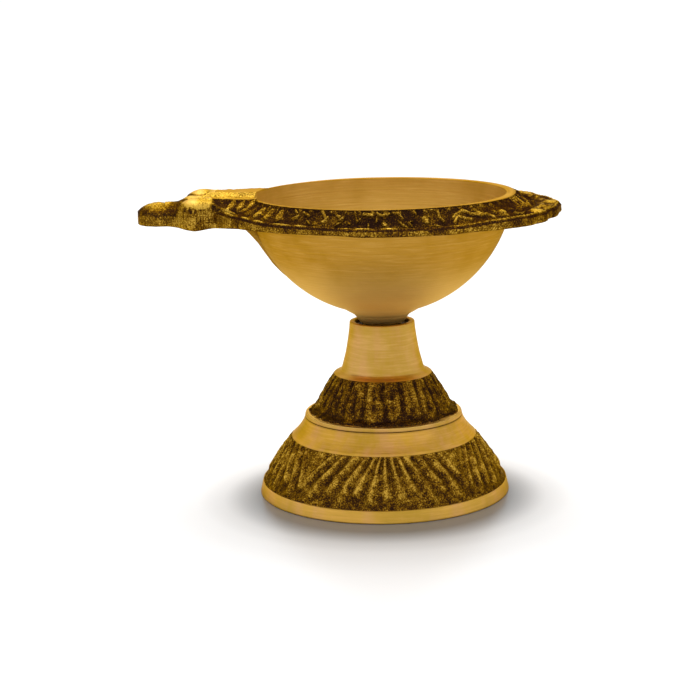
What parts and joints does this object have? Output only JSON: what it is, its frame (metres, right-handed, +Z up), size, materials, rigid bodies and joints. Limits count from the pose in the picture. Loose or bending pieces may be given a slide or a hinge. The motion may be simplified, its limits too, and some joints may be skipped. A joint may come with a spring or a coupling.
{
  "type": "diya oil lamp on a pedestal",
  "caption": "Cast brass oil lamp: round bowl with a patterned flange, trefoil wick spout and leaf tail, screwed onto a hollow turned pedestal with two textured bands.",
  "frame": {"origin": "on the surface that the lamp stands on, at the centre of its overall length and width; the turned axis is 7.95 mm from it along +X", "axes": "+Z up, +X from the wick spout to the leaf tail along the lamp's length, +Y across it"},
  "size_m": [0.1096, 0.0762, 0.0796],
  "materials": {
    "cast_brass": "sand-cast brass, polished on the plain bands and left dark and grainy in the two textured bands",
    "turned_brass": "sand-cast brass, turned and polished inside and out, with an aged pattern on the flange and spout",
    "zinc_steel": "zinc-plated steel hardware",
    "dark_fibre": "dark oiled fibre washer"
  },
  "bodies": {
    "stand": {"foot_casting": "cast_brass", "stem_casting": "cast_brass", "clamp_bolt": "zinc_steel", "plain_washer": "zinc_steel", "spring_washer": "zinc_steel"},
    "washer": {"seat_washer": "dark_fibre"},
    "bowl": {"bowl_casting": "turned_brass", "bowl_stud": "turned_brass"}
  },
  "joints": [
    {"name": "bowl_rise", "type": "slide", "parent": "stand", "child": "washer", "axis": [0, 0, 1], "range_m": [0, 0.00625]},
    {"name": "bowl_turn", "type": "hinge", "parent": "washer", "child": "bowl", "pos_m": [0.00795, 0, 0.0431], "axis": [0, 0, 1], "range_deg": [0, 1800]}
  ],
  "couplings": [
    {"joint": "bowl_rise", "follows": "bowl_turn", "m_per_rad": 0.00019894}
  ]
}
